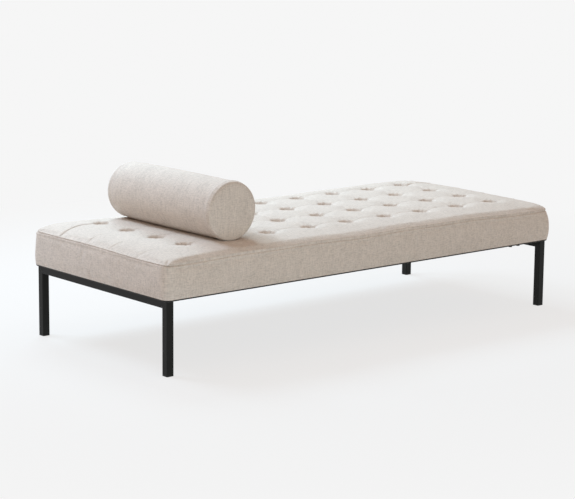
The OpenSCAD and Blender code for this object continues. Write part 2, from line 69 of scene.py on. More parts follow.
# The seam wanders in waves of (amplitude, wavelength, phase), and has a groove beside a low ridge
SEAM_WAVES = ((0.0020, 0.83, 1.1), (0.0014, 0.41, 4.0))
SEAM_WAVE_SLANT = 0.7
SEAM_GROOVE = 0.0033
SEAM_GROOVE_WIDTH = 0.0016
SEAM_RIDGE = 0.0010
SEAM_RIDGE_PLACE = 0.0060
SEAM_RIDGE_WIDTH = 0.004

# At the front right corner the seam drops and is drawn in, and the draw fades down the band by
# this power of the height
CORNER_DROP = 0.007
CORNER_DROP_REACH = 0.18
CORNER_TUCK = 0.015
CORNER_TUCK_REACH = 0.050
CORNER_TUCK_FADE = 4

# Tufts along X and Y, the washers of their ties, and how far they stand off the ties' grid
TUFTS = np.array([9, 4])
TIE_WASHER = 0.024
TUFT_SHIFT = (0.009, 0.0035)
TUFT_DRIFT = 0.003
# Each tuft's depth and radius vary between these shares, and its pull ends at the reach
DEPTH_SPREAD = (0.93, 1.07)
RADIUS_SPREAD = (0.95, 1.05)
TUFT_REACH = 0.25
# The pit and the shallow bowl round it
PIT_DEPTH = 0.030
PIT_RADIUS = 0.0255
PIT_POWER = 3.8
BOWL_DEPTH = 0.0105
BOWL_REACH = 0.044
BOWL_TIP = 0.010
# Puckers round the pit; the folds are (number round the tuft, multiple of its turn)
PUCKER = 0.0005
PUCKER_PLACE = 0.034
PUCKER_WIDTH = 0.012
PUCKER_FOLDS = ((9, 1), (14, 3))

# Valleys that join the tufts of a row and of a column: (depth all along, more at each tuft)
VALLEY_X = (0.0001, 0.0070)
VALLEY_Y = (0.0001, 0.0035)
VALLEY_WIDTH = 0.008
VALLEY_REACH = 0.042
# Where the valleys begin, in from the seam, and the width over which they come in
VALLEY_START = 0.02
VALLEY_RISE = 0.10

# Pleats from the end tufts to the end seams: a fold with a step beside it
PLEAT_DEPTH = 0.0030
PLEAT_WIDTH = 0.0028
PLEAT_STEP = 0.0020
PLEAT_SPREAD = 0.030
PLEAT_DRIFT = -0.02
# From the front row to the back row: how strong a pleat is, and where on its way it begins
PLEAT_SHARES = (0.45, 0.40, 0.50, 1.0)
PLEAT_STARTS = (0.70, 0.60, 0.50, 0.05)
# Shares of the way over which a pleat comes in, and over which it goes out at the seam
PLEAT_COMES = 0.15
PLEAT_GOES = 0.03
# A tuft this much nearer the middle than the last column isn't in an end column
END_COLUMN = 0.05

# Grid spacing of the panel as (open surface, seam), for the simulation and for the mesh
SIM_SPACING = (0.009, 0.004)
TOP_SPACING = (0.0065, 0.0008)
# Width from the seam in over which the spacing opens
SPACING_ZONE = 0.052
# Near the lines of the tufts: (distance, widest spacing within it)
TUFT_SPACING = ((0.042, 0.0027), (0.006, 0.0014))
# Samples on which the spacing of grid lines is summed
LINE_SAMPLES = 20000

# How far the side band stands out of the frame's outline
BAND_ROUND = 0.014
BAND_BOTTOM = 0.013
BAND_FULL = 0.018
BAND_FULL_AT = 0.35
BAND_SEAM = 0.013
BAND_LEAN = 0.004
BAND_WAVES = ((0.0008, 0.37, 0.6), (0.0006, 0.19, 2.2))
BAND_WAVE_SLANT = 0.6
# The band as flat fabric, and its rows as (from, to, count) in shares of its height
BAND_HEIGHT = 0.13
BAND_ROWS = ((0, 0.90, 24), (0.915, 0.97, 5), (0.975, 1, 7))
# Spacing round the band as (straight, corner), for the mesh and for the simulation
BAND_SPACING = (0.007, 0.0035)
BAND_SIM_SPACING = (0.011, 0.009)
BAND_SIM_ROWS = 14
CORNER_STEPS = 6
# Gap under the band, and the hem's rows from its inner edge out: inset, rise, place on the fabric
HEM_GAP = 0.0045
HEM_ROLL = (
    (0.020, -0.0042, -0.024),
    (0.0095, -0.0044, -0.012),
    (0.0050, -0.0062, -0.007),
    (0.0015, -0.0050, -0.003),
)

# Bolster: soft shoulders as (length, drop), with more slack at the back end
SHOULDER = (0.022, 0.0035)
BACK_SHOULDER = (0.090, 0.007)
# Its slight bulge, and how many times sooner than at the ends the bulge runs out
BOLSTER_BULGE = 0.0015
BULGE_SHORTER = 1.2
# The ring near each end, and the seam's groove as a share of the panel's
RING_PLACE = 0.017
RING_WIDTH = 0.004
RING_HEIGHT = 0.0028
BOLSTER_GROOVE = 1.1
# Columns round the bolster, and the spacing along it as (open surface, end zone)
BOLSTER_COLS = 160
BOLSTER_SPACING = (0.006, 0.0012)
BOLSTER_END_ZONE = 0.012
# The simulation's columns and rows, and how much smaller it starts
BOLSTER_SIM_GRID = (72, 66)
BOLSTER_SIM_INSET = 0.001
# Both ends of the body turn in at the seam, in rows of (inset, outward)
END_TUCK = ((0.0008, 0.0009), (0.0024, 0.0012), (0.0044, 0.0002))
END_TUCK_STEP = 0.002

# The bolster's dent in the pad: gap between them, softness of its rim, slope past the ends
BOLSTER_GAP = 0.0004
DENT_SOFT = 0.0012
DENT_SLOPE = 0.5
# A height above everything, for where nothing presses
FAR_ABOVE = 1.0

# End panels of the bolster: nearly flat, rolling in to the seam
CAP_INSET = 0.0022
CAP_CROWN = 0.004
CAP_ROLL = 0.0022
CAP_ROLL_WIDTH = 0.0035
CAP_SEAT = 0.0022
# Their rings as (from, to, count) in shares of the radius
CAP_RINGS = ((0, 0.9, 15), (0.92, 1, 12))
# Small puckers at the seam; the drift is (turn, number) of a slow wave in their spacing
CAP_PUCKER = 0.0005
CAP_PUCKER_REACH = 0.01
CAP_FOLDS = 46
CAP_FOLD_DRIFT = (2, 3)

# Cloth simulation: its frames and fabric, and for each piece the pressure from inside, how
# much the fabric grows, and the cap on how far a point may move
CLOTH_FRAMES = 20
CLOTH_FABRIC = {
    "quality": 5,
    "mass": 0.3,
    "air_damping": 4.0,
    "tension_stiffness": 15.0,
    "compression_stiffness": 15.0,
    "shear_stiffness": 7.5,
    "bending_stiffness": 1.0,
}
TOP_SWELL = {"pressure": 3.0, "growth": 0.002, "cap": 0.0025}
BAND_SWELL = {"pressure": 2.0, "growth": 0.003, "cap": 0.0015}
BOLSTER_SWELL = {"pressure": 2.0, "growth": 0.0, "cap": 0.0015}
# What stays still in the panel: the strip at the seam, the dent as (half its width, past the
# bolster's ends), and a disc at each tuft
HELD_SEAM = 0.004
HELD_DENT = (0.07, 0.02)
HELD_TUFT = 0.020

# Linen: thread pitch, colour, its darkest and lightest share, and the tones that span them
THREAD = 0.0013
LINEN = (0.69, 0.625, 0.565)
LINEN_SHADES = (0.78, 1.17)
LINEN_LIMIT = 0.9
LINEN_SPAN = (0.38, 0.62)
# Noise scales of slubs across their length, mottling and clouds, then the weights in the tone
# of slubs both ways, mottling and clouds
SLUB_SCALE = 330
MOTTLE_SCALE = 170
CLOUD_SCALE = 13
TONE_WEIGHTS = (0.38, 0.34, 0.20, 0.08)

# Powder coat: its colour, and the colour, width and strength of the painted highlight along its
# edges
COAT = (0.0062, 0.0064, 0.0054)
COAT_EDGE_HIGHLIGHT = (0.035, 0.035, 0.033, 1)
COAT_EDGE_RADIUS = 0.0022
EDGE_HIGHLIGHT_STRENGTH = 2.2

# Timber: noise scales along the grain for lines and streaks, and lines to a streak across it
PINE = (0.66, 0.44, 0.22)
LINE_SCALE = 4.0
STREAK_SCALE = 1.2
LINES_PER_STREAK = 8

# Noise scale of the fuzz on thin cloth
FUZZ_SCALE = 450

# Stage: level of the backdrop and size and grey of the floor, then the distances over which
# the floor fades into the backdrop, and the backdrop's share at both
BACKDROP = 0.921
FLOOR_HALF = 30.0
FLOOR_GREY = 0.8
FADE_PLACES = (1.2, 3.0)
FADE_SHARES = (0.8, 1.0)

# Light from all round as colour and strength, and lamps: place, target, size, power, colour
WORLD_COLOUR = (1.36, 1.0, 0.79, 1)
WORLD_STRENGTH = 0.35
LAMPS = {
    "back_left": ((-1.6, 2.2, 3.3), (0, 0, 0.4), (1.8, 1.5), 97, (0.80, 1.01, 1.21)),
    "back_right": ((0.6, 2.5, 3.2), (0.2, 0, 0.4), (1.8, 1.5), 93, (0.73, 1.0, 1.15)),
    "front": ((-1.2, -4.2, 0.8), (0, 0, 0.3), (3.0, 1.2), 33, (0.72, 1.0, 1.07)),
}

# Least length that anything is divided by
TINY = 1e-9

rng = np.random.default_rng(7)


# ---------- Places, from the frame ----------

def node_box(node):
    """Lowest and highest corner of a CAD node's box."""
    low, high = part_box(node)
    return np.array(low), np.array(high)


# The tufting ties stand in a grid: their box gives the first and last tuft of each row
tie_low, tie_high = node_box("tie_washers")
first_tuft = tie_low[:2] + TIE_WASHER / 2 + TUFT_SHIFT
last_tuft = tie_high[:2] - TIE_WASHER / 2 + TUFT_SHIFT
tuft_pitch = (last_tuft - first_tuft) / (TUFTS - 1)

frame_half = node_box("leg_back_right")[1][:2]
band_low, band_high = node_box("side_band")
seam_z = band_high[2]
top_reach = frame_half + BAND_SEAM
top_round = BAND_ROUND + BAND_SEAM

cover_low, cover_high = node_box("bolster_cover")
bolster_centre = (cover_low + cover_high) / 2
bolster_radius = (cover_high[0] - cover_low[0]) / 2
bolster_half = (cover_high[1] - cover_low[1]) / 2


# ---------- Mesh helpers ----------

def make_object(name, verts, faces, cloth=None, smooth=True):
    """A mesh object; cloth holds a place on the flat fabric for each corner of each face."""
    mesh = bpy.data.meshes.new(name)
    mesh.from_pydata([tuple(v) for v in verts], [], [tuple(int(i) for i in f) for f in faces])
    mesh.update()
    if cloth is not None:
        layer = mesh.uv_layers.new(name="cloth")
        layer.data.foreach_set("uv", np.asarray(cloth, dtype=np.float32).ravel())
    if smooth:
        mesh.polygons.foreach_set("use_smooth", [True] * len(mesh.polygons))
    obj = bpy.data.objects.new(name, mesh)
    bpy.context.scene.collection.objects.link(obj)
    return obj


def grid_faces(rows, cols, wrap=False):
    """Quads of a grid of rows by cols points, counted along the columns first."""
    faces = []
    last = cols if wrap else cols - 1
    for j in range(rows - 1):
        for i in range(last):
            n = (i + 1) % cols
            faces.append((j * cols + i, j * cols + n, (j + 1) * cols + n, (j + 1) * cols + i))
    return faces


def end_rows(rows, cols):
    """Indices of the points in the first and the last row of a grid."""
    return [*range(cols), *range((rows - 1) * cols, rows * cols)]


def corner_cloth(faces, cols, u, v, wrap_length):
    """Flat-fabric coordinates of each face corner of a strip that goes on past its start."""
    out = []
    for f in faces:
        start = f[0] % cols
        for k in f:
            j, i = divmod(k, cols)
            closes = start == cols - 1 and i == 0
            out.append((wrap_length if closes else u[i], v[j]))
    return out


def runs(*parts):
    """Evenly spaced values, run after run, each given as (from, to, count)."""
    return np.concatenate([np.linspace(*part) for part in parts])


def round_turns(cols):
    """Even angles once round."""
    return np.linspace(0, 2 * math.pi, cols, endpoint=False)


# ---------- Camera ----------

def make_camera():
    a = math.radians(CAMERA_AZIMUTH)
    e = math.radians(CAMERA_ELEVATION)
    back = Vector((math.sin(a) * math.cos(e), -math.cos(a) * math.cos(e), math.sin(e)))
    right = Vector((math.cos(a), math.sin(a), 0))
    up = back.cross(right)
    turn = Matrix.Rotation(math.radians(CAMERA_ROLL), 3, back)
    right, up = turn @ right, turn @ up
    data = bpy.data.cameras.new("camera")
    data.lens = CAMERA_LENS
    data.sensor_width = SENSOR_WIDTH
    camera = bpy.data.objects.new("camera", data)
    place = Matrix((right, up, back)).transposed().to_4x4()
    place.translation = CAMERA_TARGET + back * CAMERA_DISTANCE
    camera.matrix_world = place
    bpy.context.scene.collection.objects.link(camera)
    bpy.context.scene.camera = camera


make_camera()


# ---------- Materials ----------

class Nodes:
    """A small helper that adds and links shader nodes."""

    def __init__(self, name):
        self.material = bpy.data.materials.new(name)
        self.material.use_nodes = True
        self.tree = self.material.node_tree
        self.shader = self.tree.nodes["Principled BSDF"]

    def add(self, kind, **values):
        """A node, with its properties and sockets set by name."""
        node = self.tree.nodes.new(kind)
        for key, value in values.items():
            if hasattr(node, key):
                setattr(node, key, value)
            else:
                node.inputs[key.replace("_", " ")].default_value = value
        return node

    def link(self, out, into):
        self.tree.links.new(out, into)

    def surface(self, **values):
        """Sets the shader's own sockets, for what is the same all over."""
        for key, value in values.items():
            self.shader.inputs[key.replace("_", " ")].default_value = value

    def place(self):
        return self.add("ShaderNodeTexCoord").outputs["Object"]

    def split(self, vector):
        node = self.add("ShaderNodeSeparateXYZ")
        self.link(vector, node.inputs[0])
        return node.outputs

    def math(self, operation, a, b=0.0):
        node = self.add("ShaderNodeMath", operation=operation)
        for slot, value in zip(node.inputs, (a, b)):
            if isinstance(value, (int, float)):
                slot.default_value = value
            else:
                self.link(value, slot)
        return node.outputs[0]

    def noise(self, vector, scale, detail=2.0, roughness=0.5):
        node = self.add("ShaderNodeTexNoise", Scale=scale, Detail=detail, Roughness=roughness)
        self.link(vector, node.inputs["Vector"])
        return node.outputs["Fac"]

    def vector(self, operation, vector, factors):
        node = self.add("ShaderNodeVectorMath", operation=operation)
        self.link(vector, node.inputs[0])
        node.inputs[1].default_value = factors
        return node.outputs[0]

    def stretched(self, vector, factors):
        return self.vector("MULTIPLY", vector, factors)

    def shifted(self, vector, by):
        return self.vector("ADD", vector, (by, by, by))

    def weighted(self, *terms, offset=0.0):
        """Sum of sockets, each times its weight, plus a constant."""
        total = offset
        for socket, weight in terms:
            total = self.math("ADD", self.math("MULTIPLY", socket, weight), total)
        return total

    def ramp(self, tone, colour, darkest, lightest, limit=1.0, ends=(0.3, 0.7)):
        """Colours the surface by its tone, between two shares of a colour."""
        node = self.add("ShaderNodeValToRGB")
        low, high = node.color_ramp.elements
        low.position, high.position = ends
        low.color = (*(c * darkest for c in colour), 1)
        high.color = (*(min(c * lightest, limit) for c in colour), 1)
        node.color_ramp.elements.new(0.5).color = (*colour, 1)
        self.link(tone, node.inputs[0])
        self.link(node.outputs[0], self.shader.inputs["Base Color"])

    def relief(self, height, strength, distance):
        bump = self.add("ShaderNodeBump", Strength=strength, Distance=distance)
        self.link(height, bump.inputs["Height"])
        self.link(bump.outputs[0], self.shader.inputs["Normal"])


def linen(name, seed, slub_lengths):
    """Plain-weave linen: threads, slubs along both thread directions and soft mottling."""
    n = Nodes(name)
    uv = n.shifted(n.add("ShaderNodeUVMap", uv_map="cloth").outputs["UV"], seed)
    axes = n.split(uv)
    wave = math.pi / THREAD
    warp = n.math("SINE", n.math("MULTIPLY", axes["X"], wave))
    weft = n.math("SINE", n.math("MULTIPLY", axes["Y"], wave))
    weave = n.math("MULTIPLY", warp, weft)
    long_u, long_v = (1 / length for length in slub_lengths)
    slub_u = n.noise(n.stretched(uv, (long_u, SLUB_SCALE, 1)), 1.0, detail=3.0, roughness=0.6)
    slub_v = n.noise(n.stretched(uv, (SLUB_SCALE, long_v, 1)), 1.0, detail=3.0, roughness=0.6)
    mottle = n.noise(uv, MOTTLE_SCALE, detail=3.0, roughness=0.65)
    cloud = n.noise(uv, CLOUD_SCALE)
    tone = n.weighted(*zip((slub_u, slub_v, mottle, cloud), TONE_WEIGHTS))
    tone = n.weighted((tone, 1.0), (weave, 0.03))
    n.ramp(tone, LINEN, *LINEN_SHADES, limit=LINEN_LIMIT, ends=LINEN_SPAN)
    n.link(n.weighted((tone, 0.1), offset=0.84), n.shader.inputs["Roughness"])
    n.relief(n.weighted((weave, 0.25), (tone, 1.6)), strength=0.5, distance=0.0010)
    n.surface(Sheen_Weight=0.12, Sheen_Roughness=0.4, Specular_IOR_Level=0.2)
    return n.material


def finish(name, colour, roughness, metallic=0.0, specular=0.5, grain=0.1, scale=300,
           relief=0.0002):
    """A rigid finish with a fine grain in colour, roughness and relief."""
    n = Nodes(name)
    fine = n.noise(n.place(), scale, detail=3.0, roughness=0.6)
    n.ramp(fine, colour, 1 - grain, 1 + grain)
    n.link(n.weighted((fine, 0.15), offset=roughness - 0.07), n.shader.inputs["Roughness"])
    n.surface(Metallic=metallic, Specular_IOR_Level=specular)
    n.relief(fine, strength=0.3, distance=relief)
    return n


def powder_coat():
    """Fine-textured black powder coat, with a painted highlight that lightens it along the edges.
    """
    n = finish("powder_coat", COAT, 0.40, specular=0.18, grain=0.2, scale=900)
    bevel = n.add("ShaderNodeBevel", samples=6, Radius=COAT_EDGE_RADIUS)
    bump = n.shader.inputs["Normal"].links[0].from_node
    n.link(bevel.outputs[0], bump.inputs["Normal"])
    # The bevelled normal turns away from the face's own only near an edge
    turned = n.add("ShaderNodeVectorMath", operation="DOT_PRODUCT")
    n.link(bevel.outputs[0], turned.inputs[0])
    n.link(n.add("ShaderNodeNewGeometry").outputs["Normal"], turned.inputs[1])
    away = n.math("SUBTRACT", 1.0, turned.outputs["Value"])
    # The colour is mixed toward a lighter grey near each edge: a painted highlight
    # Sockets 6 and 7 are the mix node's two colours, and its output 2 is the mixed colour
    mix = n.add("ShaderNodeMix", data_type="RGBA")
    n.link(n.math("MULTIPLY", away, EDGE_HIGHLIGHT_STRENGTH), mix.inputs["Factor"])
    n.link(n.shader.inputs["Base Color"].links[0].from_socket, mix.inputs[6])
    mix.inputs[7].default_value = COAT_EDGE_HIGHLIGHT
    n.link(mix.outputs[2], n.shader.inputs["Base Color"])
    return n.material


def timber(name, colour, grain_way, ring=26.0):
    """Sawn softwood or ply: grain lines stretched along one direction, a few darker streaks."""
    n = Nodes(name)
    place = n.place()
    line_scales = [LINE_SCALE if along else ring * LINES_PER_STREAK for along in grain_way]
    streak_scales = [STREAK_SCALE if along else ring for along in grain_way]
    lines = n.noise(n.stretched(place, line_scales), 1.0, detail=4.0, roughness=0.6)
    streaks = n.noise(n.stretched(place, streak_scales), 1.0)
    n.ramp(n.weighted((lines, 0.5), (streaks, 0.5)), colour, 0.62, 1.15, limit=0.95)
    n.link(n.weighted((lines, 0.2), offset=0.6), n.shader.inputs["Roughness"])
    n.relief(lines, strength=0.4, distance=0.0004)
    n.surface(Specular_IOR_Level=0.3)
    return n.material


def thin_cloth(name, colour, pitch, contrast):
    """Woven or spun cloth seen by its threads: dust cloth, the near-black hem that is a painted
    shadow line, twine and zip tape.
    """
    n = Nodes(name)
    place = n.place()
    axes = n.split(place)
    wave = 2 * math.pi / pitch
    threads = [n.math("SINE", n.math("MULTIPLY", axes[axis], wave)) for axis in "XYZ"]
    weave = n.weighted(*[(thread, 0.17) for thread in threads], offset=0.5)
    fuzz = n.noise(place, FUZZ_SCALE, detail=3.0, roughness=0.6)
    tone = n.weighted((weave, 0.4), (fuzz, 0.6))
    n.ramp(tone, colour, 1 - contrast, 1 + contrast)
    n.relief(tone, strength=0.4, distance=pitch / 4)
    n.surface(Roughness=0.9, Sheen_Weight=0.2, Specular_IOR_Level=0.2)
    return n.material


def metal(name, colour, roughness):
    """Plated steel of the fasteners."""
    return finish(name, colour, roughness, metallic=1.0, grain=0.08, scale=220).material


linen_top = linen("linen_top", 0.0, (0.022, 0.022))
linen_band = linen("linen_band", 3.7, (0.016, 0.022))
linen_bolster = linen("linen_bolster", 8.3, (0.014, 0.035))

# Near-black cloth for the band's rolled-under hem: a painted shadow line under the band
painted_shadow_hem = thin_cloth("painted_shadow_hem", (0.016, 0.015, 0.014), pitch=0.0016, contrast=0.35)
foot_plastic = finish("foot_plastic", (0.014, 0.014, 0.014), 0.5, grain=0.15, scale=700)
foam = finish("foam", (0.84, 0.78, 0.52), 0.95, specular=0.1, grain=0.12, scale=650,
              relief=0.0008)

# Material of every node whose name starts with one of the words
FINISHES = {
    ("leg", "end_rail", "side_rail", "joining_stubs"):
        powder_coat(),
    ("foot",):
        foot_plastic.material,
    ("platform_bolts", "bolt_washers"):
        metal("black_zinc", (0.030, 0.031, 0.029), 0.42),
    ("t_nuts", "deck_screws", "tie_washers"):
        metal("zinc_plate", (0.60, 0.61, 0.62), 0.36),
    ("base_board_front", "base_board_back", "brace"):
        timber("pine_long", PINE, (1, 0, 0)),
    ("base_board_left", "base_board_right", "bearer"):
        timber("pine_cross", PINE, (0, 1, 0)),
    ("deck_panel",):
        timber("plywood", (0.55, 0.37, 0.19), (1, 0, 0), ring=14.0),
    ("dust_cover",):
        thin_cloth("dust_cloth", (0.012, 0.012, 0.012), pitch=0.0016, contrast=0.35),
    ("foam",):
        foam.material,
    ("tufting_ties",):
        thin_cloth("twine", (0.74, 0.68, 0.55), pitch=0.0012, contrast=0.25),
    ("bolster_zip",):
        thin_cloth("zip_tape", (0.48, 0.41, 0.34), pitch=0.0024, contrast=0.30),
}


# ---------- Soft surfaces ----------

def spread_lines(low, high, spacing):
    """Grid lines from low to high; spacing gives the distance between lines at any place."""
    fine = np.linspace(low, high, LINE_SAMPLES)
    steps = np.cumsum(np.diff(fine) / spacing((fine[1:] + fine[:-1]) / 2))
    count = np.concatenate([[0], steps])
    return np.interp(np.linspace(0, count[-1], int(round(count[-1])) + 1), count, fine)


def grid_places(values, lines):
    """Values as fractional numbers of the grid lines that they lie between."""
    return np.interp(values, lines, np.arange(len(lines)))


def cubic_weights(places, count, wrap=False):
    """Rows and weights of a smooth interpolation at fractional grid places."""
    base = np.floor(places).astype(int)
    if not wrap:
        base = np.clip(base, 0, count - 2)
    t = places - base
    rows = np.stack([base - 1, base, base + 1, base + 2])
    rows = rows % count if wrap else np.clip(rows, 0, count - 1)
    # The four weights of a Catmull-Rom spline
    weights = np.stack([
        -0.5 * t + t ** 2 - 0.5 * t ** 3, 1 - 2.5 * t ** 2 + 1.5 * t ** 3,
        0.5 * t + 2 * t ** 2 - 1.5 * t ** 3, -0.5 * t ** 2 + 0.5 * t ** 3,
    ])
    return rows, weights


def resample(grid, v_places, u_places, wrap=False):
    """A grid of vectors read smoothly at other places; u may close on itself."""
    rows, w = cubic_weights(v_places, grid.shape[0])
    grid = sum(w[k][:, None, None] * grid[rows[k]] for k in range(4))
    cols, w = cubic_weights(u_places, grid.shape[1], wrap)
    return sum(w[k][None, :, None] * grid[:, cols[k]] for k in range(4))


def simulate(name, verts, faces, pinned, pressure, growth, cap):
    """How the fabric moves from its start when it is a little too large and pressed from inside."""
    start = np.asarray(verts, dtype=float)
    cloth = make_object(name, start, faces)
    group = cloth.vertex_groups.new(name="pinned")
    group.add([int(i) for i in pinned], 1.0, "REPLACE")
    modifier = cloth.modifiers.new("cloth", "CLOTH")
    settings = modifier.settings
    for key, value in CLOTH_FABRIC.items():
        setattr(settings, key, value)
    settings.vertex_group_mass = "pinned"
    settings.effector_weights.gravity = 0.0
    settings.use_pressure = True
    settings.uniform_pressure_force = pressure
    settings.shrink_min = -growth
    scene = bpy.context.scene
    for step in range(1, CLOTH_FRAMES + 1):
        scene.frame_set(step)
    shape = cloth.evaluated_get(bpy.context.evaluated_depsgraph_get())
    end = np.empty(len(start) * 3)
    shape.data.vertices.foreach_get("co", end)
    scene.frame_set(1)
    bpy.data.objects.remove(cloth)
    move = end.reshape(-1, 3) - start
    length = np.linalg.norm(move, axis=1, keepdims=True)
    return move * np.minimum(1, cap / np.maximum(length, TINY))


def wander(values, waves):
    """A slow wandering line: a sum of sines given as (amplitude, wavelength, phase)."""
    return sum(a * np.sin(2 * math.pi * values / length + phase) for a, length, phase in waves)


def smooth_share(t):
    t = np.clip(t, 0, 1)
    return t * t * (3 - 2 * t)


def bell(distance, width):
    """1 in the middle, fading to nothing at about twice the width."""
    return np.exp(-(distance / width) ** 2)


# ---------- Seam ----------

def corner_distance(x, y):
    """Distance in plan from the front right corner of the frame."""
    return np.hypot(x - frame_half[0], y + frame_half[1])


def seam_level(x, y):
    """The seam wanders a few millimetres as it goes round and drops at the front right corner."""
    drop = CORNER_DROP * bell(corner_distance(x, y), CORNER_DROP_REACH)
    return seam_z + wander(x + SEAM_WAVE_SLANT * y, SEAM_WAVES) - drop


def seam_groove(off):
    """How far the fabric is drawn in at a distance from the seam."""
    ridge = SEAM_RIDGE * bell(off - SEAM_RIDGE_PLACE, SEAM_RIDGE_WIDTH)
    return SEAM_GROOVE * bell(off, SEAM_GROOVE_WIDTH) - ridge


def seam_lean(x, y):
    """The upholstery leans a few millimetres out at one corner and in at the opposite one."""
    return BAND_LEAN * (x / frame_half[0] - y / frame_half[1]) / 2


def corner_tuck(x, y):
    """How far the seam is drawn in along X and along Y across the front right corner."""
    draw = CORNER_TUCK * bell(corner_distance(x, y), CORNER_TUCK_REACH) / math.sqrt(2)
    return -draw, draw


# ---------- Tufted top ----------

def tuft_places():
    """Centre, depth, radius and turn of each tuft, each a little off as hand work is."""
    out = []
    for i in range(TUFTS[0]):
        for j in range(TUFTS[1]):
            x = first_tuft[0] + i * tuft_pitch[0] + rng.uniform(-1, 1) * TUFT_DRIFT
            y = first_tuft[1] + j * tuft_pitch[1] + rng.uniform(-1, 1) * TUFT_DRIFT
            depth = PIT_DEPTH * rng.uniform(*DEPTH_SPREAD)
            radius = PIT_RADIUS * rng.uniform(*RADIUS_SPREAD)
            out.append((x, y, depth, radius, rng.uniform(0, 2 * math.pi)))
    return out


tufts = tuft_places()


def edge_share(d, edge):
    """Share of the edge's rise that is reached at a distance in from the seam."""
    width, power = edge
    t = np.clip(d / width, 0, 1)
    return (1 - (1 - t) ** power) ** (1 / power)


def bolster_profile(y):
    """Radius of the bolster's body at a place along it: soft shoulders, a groove at both seams."""
    d = np.maximum(bolster_half - abs(y), 0)

    def drooped(length, drop):
        return drop * (1 - np.clip(d / length, 0, 1)) ** 2

    slack = np.where(y > 0, drooped(*BACK_SHOULDER), 0)
    bulge = BOLSTER_BULGE * np.maximum(1 - (y / bolster_half * BULGE_SHORTER) ** 2, 0)
    # The seam allowance inside shows as a low ring a little way in from each end
    ring = RING_HEIGHT * bell(d - RING_PLACE, RING_WIDTH)
    groove = seam_groove(d) * BOLSTER_GROOVE
    return bolster_radius + bulge + ring - drooped(*SHOULDER) - slack - groove


def top_surface(x, y):
    """Height of the tufted panel over the flat grid."""
    dx, dy = top_reach[0] - abs(x), top_reach[1] - abs(y)
    d = np.minimum(dx, dy)
    seam = seam_level(x, y)
    front, back = SIDE_EDGES
    left, right = END_EDGES
    ends = np.where(x < 0, edge_share(dx, left), edge_share(dx, right))
    sides = np.where(y < 0, edge_share(dy, front), edge_share(dy, back))
    lean = END_LEAN * (1 + x / top_reach[0]) / 2
    z = seam + (EDGE_RISE + lean) * ends * sides
    risen = smooth_share(dx / CROWN_WIDTH[0]) * smooth_share(dy / CROWN_WIDTH[1])
    z = z + (CROWN + seam_z - seam) * risen
    # Shallow valleys join neighbouring tufts
    inner = smooth_share((d - VALLEY_START) / VALLEY_RISE)
    off_x = (x - first_tuft[0] + tuft_pitch[0] / 2) % tuft_pitch[0] - tuft_pitch[0] / 2
    off_y = (y - first_tuft[1] + tuft_pitch[1] / 2) % tuft_pitch[1] - tuft_pitch[1] / 2
    for across, along, (all_along, at_tuft) in ((off_y, off_x, VALLEY_X), (off_x, off_y, VALLEY_Y)):
        depth = all_along + at_tuft * bell(along, VALLEY_REACH)
        z = z - inner * depth * bell(across, VALLEY_WIDTH)
    # Each tuft draws the fabric down into a pit at the middle of a shallow bowl
    for tx, ty, depth, radius, turn in tufts:
        near = (abs(x - tx) < TUFT_REACH) & (abs(y - ty) < TUFT_REACH)
        r = np.hypot(x[near] - tx, y[near] - ty)
        angle = np.arctan2(y[near] - ty, x[near] - tx)
        z[near] -= depth * np.exp(-(r / radius) ** PIT_POWER)
        z[near] -= BOWL_DEPTH * np.exp((BOWL_TIP - np.hypot(r, BOWL_TIP)) / BOWL_REACH)
        # The gathered fabric puckers round it
        rim = bell(r - PUCKER_PLACE, PUCKER_WIDTH)
        folds = sum(np.sin(count * angle + times * turn) for count, times in PUCKER_FOLDS)
        z[near] -= PUCKER * rim * folds
    return pressed(x, y, z + end_pleats(x, y))


def pressed(x, y, z):
    """The bolster's weight presses the pad down along its underside."""
    radius = bolster_profile(y - bolster_centre[1])
    off = np.clip(abs(x - bolster_centre[0]) / radius, 0, 1)
    past = np.maximum(abs(y - bolster_centre[1]) - bolster_half, 0)
    under = bolster_centre[2] - radius * np.sqrt(1 - off ** 2) + past * DENT_SLOPE - BOLSTER_GAP
    under = np.where(off < 1, under, FAR_ABOVE)
    blend = np.clip(0.5 + (under - z) / (2 * DENT_SOFT), 0, 1)
    return under + (z - under) * blend - DENT_SOFT * blend * (1 - blend)


def end_pleats(x, y):
    """A folded pleat from each end tuft to the end seam."""
    out = np.zeros_like(x)
    for k, (tx, ty, *_) in enumerate(tufts):
        if abs(tx) < last_tuft[0] - END_COLUMN:
            continue
        strength, start = PLEAT_SHARES[k % TUFTS[1]], PLEAT_STARTS[k % TUFTS[1]]
        along = (x * np.sign(tx) - abs(tx)) / (top_reach[0] - abs(tx))
        off = y - (ty + PLEAT_DRIFT * along ** 2 * np.sign(ty))
        comes = smooth_share((along - start) / PLEAT_COMES)
        share = strength * comes * smooth_share((1.0 - along) / PLEAT_GOES)
        step = smooth_share(off / PLEAT_WIDTH + 0.5) * bell(off, PLEAT_SPREAD)
        fold = PLEAT_STEP * step - PLEAT_DEPTH * bell(off, PLEAT_WIDTH)
        out += np.where(along > 0, share * fold, 0)
    return out


def round_outline(x, y, reach, corner):
    """Pulls a grid in to an outline with rounded corners."""
    a = np.maximum(abs(x) - (reach[0] - corner), 0)
    b = np.maximum(abs(y) - (reach[1] - corner), 0)
    k = np.where((a > 0) & (b > 0), np.maximum(a, b) / np.maximum(np.hypot(a, b), TINY), 1)
    px = np.where(k < 1, np.sign(x) * (reach[0] - corner + a * k), x)
    py = np.where(k < 1, np.sign(y) * (reach[1] - corner + b * k), y)
    return px, py


def outline_normal(x, y, reach, corner):
    """Outward direction of the rounded outline nearest to a point."""
    a = abs(x) - (reach[0] - corner)
    b = abs(y) - (reach[1] - corner)
    in_corner = (a > 0) & (b > 0)
    nx = np.where(in_corner, a, np.where(a > b, 1.0, 0.0))
    ny = np.where(in_corner, b, np.where(a > b, 0.0, 1.0))
    length = np.hypot(nx, ny)
    return np.sign(x) * nx / length, np.sign(y) * ny / length


